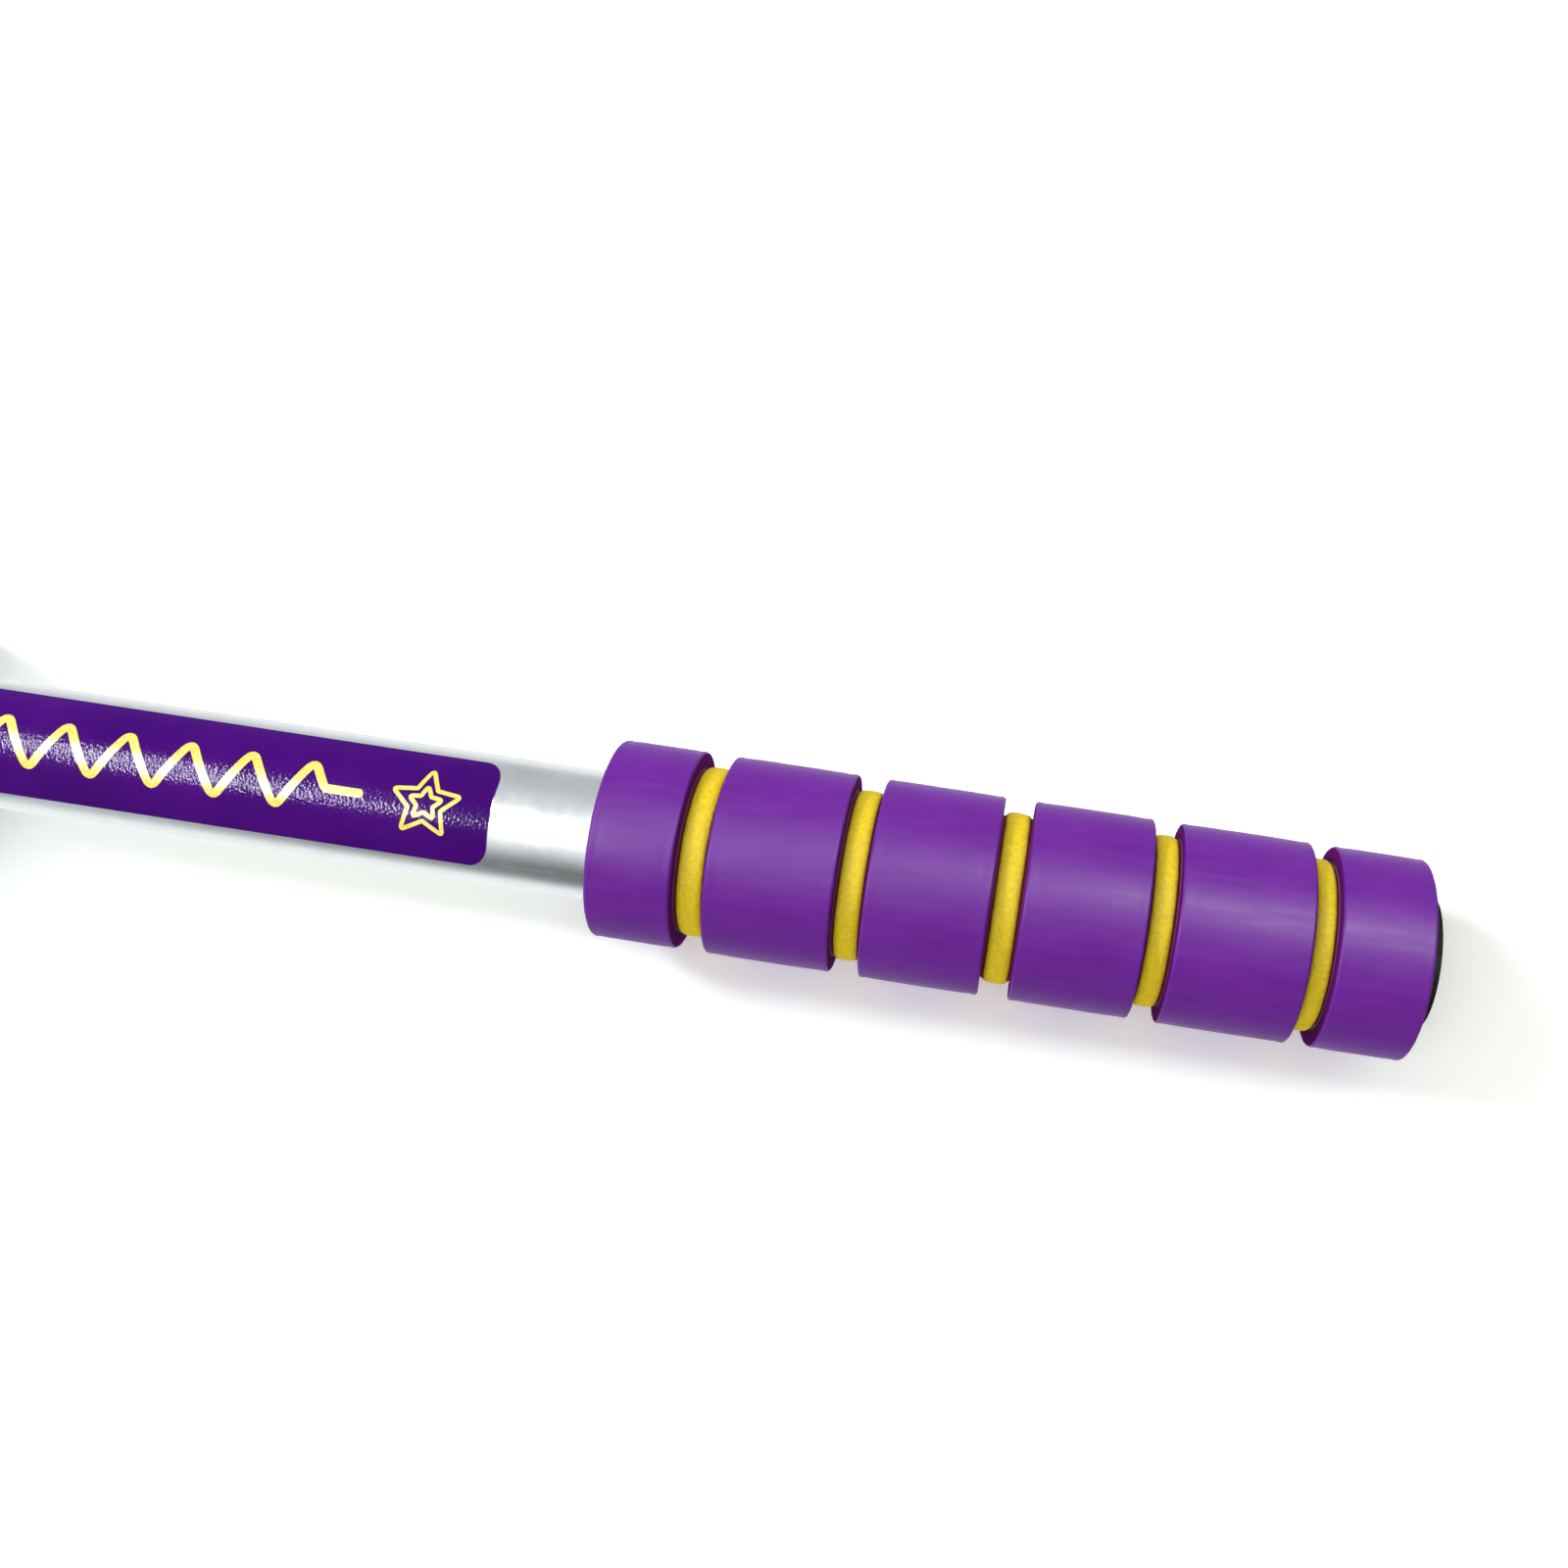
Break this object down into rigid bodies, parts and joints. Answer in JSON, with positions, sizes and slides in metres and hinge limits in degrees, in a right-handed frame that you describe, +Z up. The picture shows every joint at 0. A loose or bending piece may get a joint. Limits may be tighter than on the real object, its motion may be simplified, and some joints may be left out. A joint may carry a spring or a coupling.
{
  "type": "pogo stick",
  "caption": "Pogo stick with a T handlebar, banded foam grips, two ribbed footrests and a sprung, telescoping plunger with a flared rubber foot.",
  "frame": {"origin": "centre of the rubber foot's sole, on the ground, with the stick upright and the spring extended", "axes": "+Z up along the column, +X towards the rider's right hand, +Y the way the rider faces; the labels on the handlebar face -Y, towards the rider"},
  "size_m": [0.4806, 0.058, 0.9465],
  "materials": {
    "zinc_steel": "satin zinc plate",
    "weld_steel": "zinc-plated weld bead",
    "fastener_steel": "bright zinc",
    "spring_steel": "oiled",
    "black_plastic": "moulded",
    "grey_plastic": "moulded nylon",
    "purple_plastic": "fine moulded texture",
    "black_rubber": "moulded",
    "yellow_rubber": "moulded",
    "yellow_foam": "closed-cell foam",
    "purple_foam": "closed-cell foam",
    "label_vinyl": "printed gloss vinyl"
  },
  "bodies": {
    "frame": {"column_tube": "zinc_steel", "handlebar_tube": "zinc_steel", "handlebar_welds": "weld_steel", "column_cap": "black_plastic", "guide_bushing": "black_plastic", "bushing_screws": "fastener_steel", "rebound_bumper": "black_rubber", "spring_stop": "grey_plastic", "stop_bolt": "fastener_steel", "stop_nut": "fastener_steel", "stop_washers": "fastener_steel", "main_spring": "spring_steel", "peg_collar": "zinc_steel", "peg_welds": "weld_steel", "footrest_bolts": "fastener_steel", "footrest_nuts": "fastener_steel", "right_grip_core": "yellow_foam", "right_grip_bands": "purple_foam", "right_end_plug": "black_plastic", "right_label": "label_vinyl", "right_peg_tube": "zinc_steel", "right_peg_gusset": "zinc_steel", "right_footrest": "purple_plastic", "right_tread_pad": "yellow_rubber", "left_grip_core": "yellow_foam", "left_grip_bands": "purple_foam", "left_end_plug": "black_plastic", "left_label": "label_vinyl", "left_peg_tube": "zinc_steel", "left_peg_gusset": "zinc_steel", "left_footrest": "purple_plastic", "left_tread_pad": "yellow_rubber"},
    "spring_seat": {"spring_seat": "fastener_steel"},
    "plunger": {"plunger_tube": "zinc_steel", "piston": "grey_plastic", "piston_pin": "fastener_steel", "foot_washer": "fastener_steel", "foot_tip": "black_rubber"}
  },
  "joints": [
    {"name": "plunger_slide", "type": "slide", "parent": "frame", "child": "spring_seat", "axis": [0, 0, 1], "range_m": [0, 0.085], "stiffness_N_per_m": 8500, "springref_m": -0.015, "deforming": ["main_spring"]},
    {"name": "plunger_twist", "type": "hinge", "parent": "spring_seat", "child": "plunger", "pos_m": [0, 0, 0.21], "axis": [0, 0, 1], "continuous": true}
  ]
}
